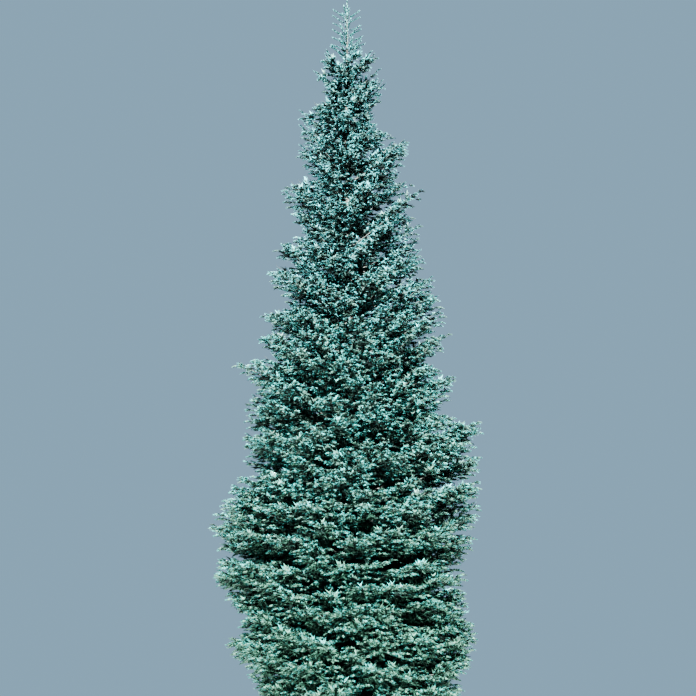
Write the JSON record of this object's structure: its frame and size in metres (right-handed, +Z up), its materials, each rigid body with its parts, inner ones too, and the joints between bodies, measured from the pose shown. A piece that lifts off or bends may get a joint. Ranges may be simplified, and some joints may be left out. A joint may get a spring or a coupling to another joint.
{
  "type": "blue spruce tree",
  "caption": "Tall narrow blue spruce rooted in the ground: one tapering trunk with a root flare, tiers of rising boughs and dense masses of silvery blue-green needles.",
  "frame": {"origin": "middle of the flat cut under the trunk, at ground level", "axes": "+Z up along the trunk, +X to the right of the front view, -Y towards the viewer"},
  "size_m": [5.4784, 5.234, 15.8],
  "materials": {
    "bark": "rough scaly grey-brown bark",
    "needles": "waxy blue-green needles"
  },
  "bodies": {
    "root": {"trunk": "bark", "bough_tier1_1": "bark", "bough_tier1_2": "bark", "bough_tier1_3": "bark", "bough_tier1_4": "bark", "bough_tier1_5": "bark", "bough_tier2_1": "bark", "bough_tier2_2": "bark", "bough_tier2_3": "bark", "bough_tier2_4": "bark", "bough_tier2_5": "bark", "bough_tier3_1": "bark", "bough_tier3_2": "bark", "bough_tier3_3": "bark", "bough_tier3_4": "bark", "bough_tier3_5": "bark", "foliage_tier1_1": "needles", "foliage_tier1_2": "needles", "foliage_tier1_3": "needles", "foliage_tier1_4": "needles", "foliage_tier1_5": "needles", "foliage_tier2_1": "needles", "foliage_tier2_2": "needles", "foliage_tier2_3": "needles", "foliage_tier2_4": "needles", "foliage_tier2_5": "needles", "foliage_tier3_1": "needles", "foliage_tier3_2": "needles", "foliage_tier3_3": "needles", "foliage_tier3_4": "needles", "foliage_tier3_5": "needles", "foliage_tier4_1": "needles", "foliage_tier4_2": "needles", "foliage_tier4_3": "needles", "foliage_tier4_4": "needles", "foliage_tier4_5": "needles", "foliage_tier5_1": "needles", "foliage_tier5_2": "needles", "foliage_tier5_3": "needles", "foliage_tier5_4": "needles", "foliage_tier5_5": "needles", "foliage_tier6_1": "needles", "foliage_tier6_2": "needles", "foliage_tier6_3": "needles", "foliage_tier6_4": "needles", "foliage_tier6_5": "needles", "foliage_tier7_1": "needles", "foliage_tier7_2": "needles", "foliage_tier7_3": "needles", "foliage_tier7_4": "needles", "foliage_tier7_5": "needles", "foliage_tier8_1": "needles", "foliage_tier8_2": "needles", "foliage_tier8_3": "needles", "foliage_tier8_4": "needles", "foliage_tier8_5": "needles", "foliage_top_1": "needles", "foliage_top_2": "needles", "foliage_top_3": "needles", "foliage_top_4": "needles"}
  },
  "joints": []
}
